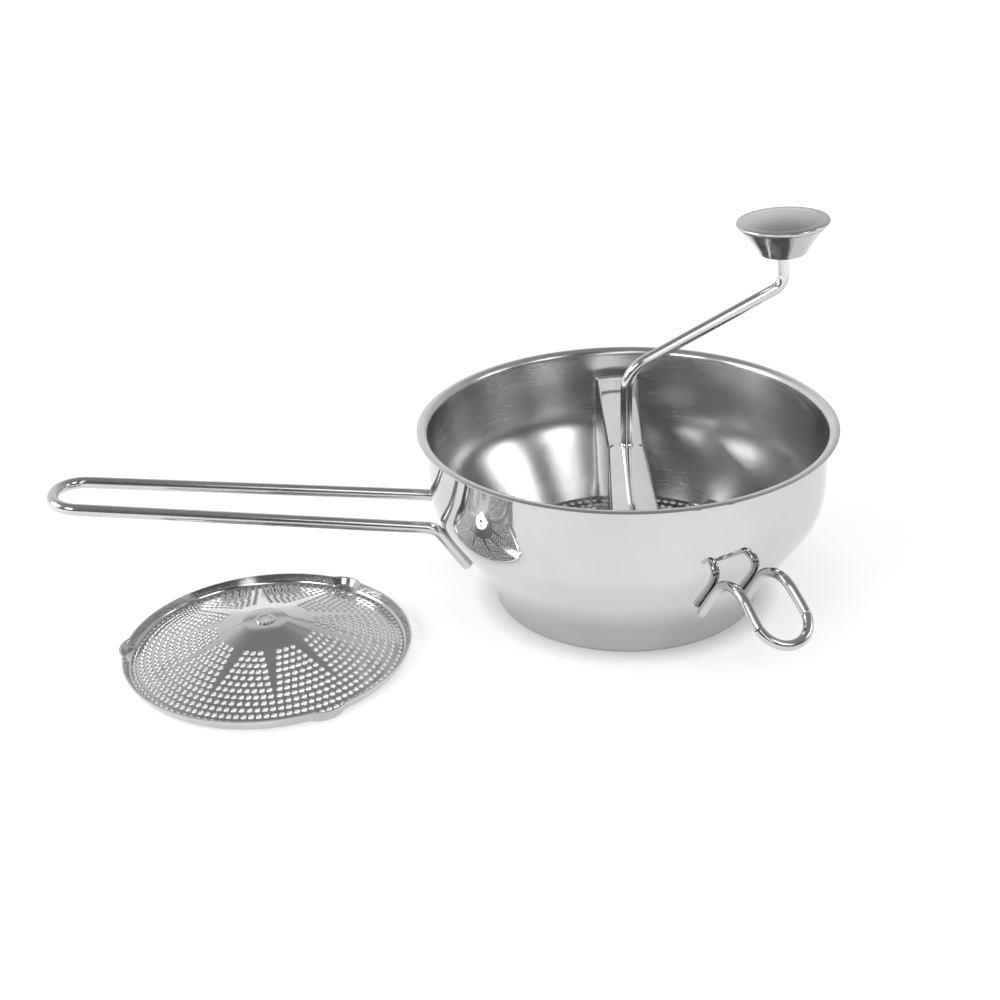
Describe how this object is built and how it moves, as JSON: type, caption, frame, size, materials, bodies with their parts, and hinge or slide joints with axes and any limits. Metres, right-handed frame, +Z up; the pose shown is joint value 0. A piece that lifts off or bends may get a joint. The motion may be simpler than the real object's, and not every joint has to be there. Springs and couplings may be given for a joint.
{
  "type": "food mill",
  "caption": "Stainless food mill: skirted bowl with wire handle and rest hooks, bent crank with blade and knob, perforated disc in place and a spare disc beside it.",
  "frame": {"origin": "centre of the bowl's skirt at the table", "axes": "+Z up along the bowl's axis, -X towards the handle"},
  "size_m": [0.4565, 0.2916, 0.2217],
  "materials": {
    "polished_sheet": "mirror polished outside, satin inside",
    "polished_wire": "mirror polished",
    "satin_steel": "satin",
    "disc_steel": "pressed and tumbled",
    "spring_steel": "bright drawn",
    "bush_plastic": "smooth"
  },
  "bodies": {
    "bowl_body": {"bowl": "polished_sheet", "handle": "polished_wire", "rest_hook_front": "polished_wire", "rest_hook_back": "polished_wire", "disc_lugs": "satin_steel"},
    "disc": {"disc_plate": "disc_steel", "disc_bush": "satin_steel", "disc_washer": "satin_steel"},
    "catch": {"press_spring": "spring_steel", "spring_cup": "satin_steel"},
    "crank": {"crank_rod": "polished_wire", "blade": "polished_sheet", "blade_collar": "satin_steel", "cup_washer": "satin_steel", "cross_pin": "satin_steel", "knob_washer": "satin_steel", "knob_retainer": "spring_steel"},
    "knob": {"knob_skirt": "polished_sheet", "knob_cap": "satin_steel", "knob_bush": "bush_plastic"},
    "spare_disc": {"spare_disc_plate": "disc_steel", "spare_disc_bush": "satin_steel"}
  },
  "joints": [
    {"name": "disc_turn", "type": "hinge", "parent": "bowl_body", "child": "disc", "pos_m": [0, 0, 0.02], "axis": [0, 0, 1], "range_deg": [0, 20]},
    {"name": "crank_lift", "type": "slide", "parent": "bowl_body", "child": "catch", "axis": [0, 0, 1], "range_m": [0, 0.004], "stiffness_N_per_m": 600, "springref_m": -0.006, "deforming": ["press_spring"]},
    {"name": "crank_spin", "type": "hinge", "parent": "catch", "child": "crank", "pos_m": [0, 0, 0.05], "axis": [0, 0, 1], "continuous": true},
    {"name": "knob_spin", "type": "hinge", "parent": "crank", "child": "knob", "pos_m": [0.08803, 0.01237, 0.19907], "axis": [-0.0605, -0.0085, 0.9981], "continuous": true},
    {"name": "spare_disc_lift", "type": "slide", "parent": "bowl_body", "child": "spare_disc", "axis": [0, 0, 1], "range_m": [0, 0.04]}
  ]
}
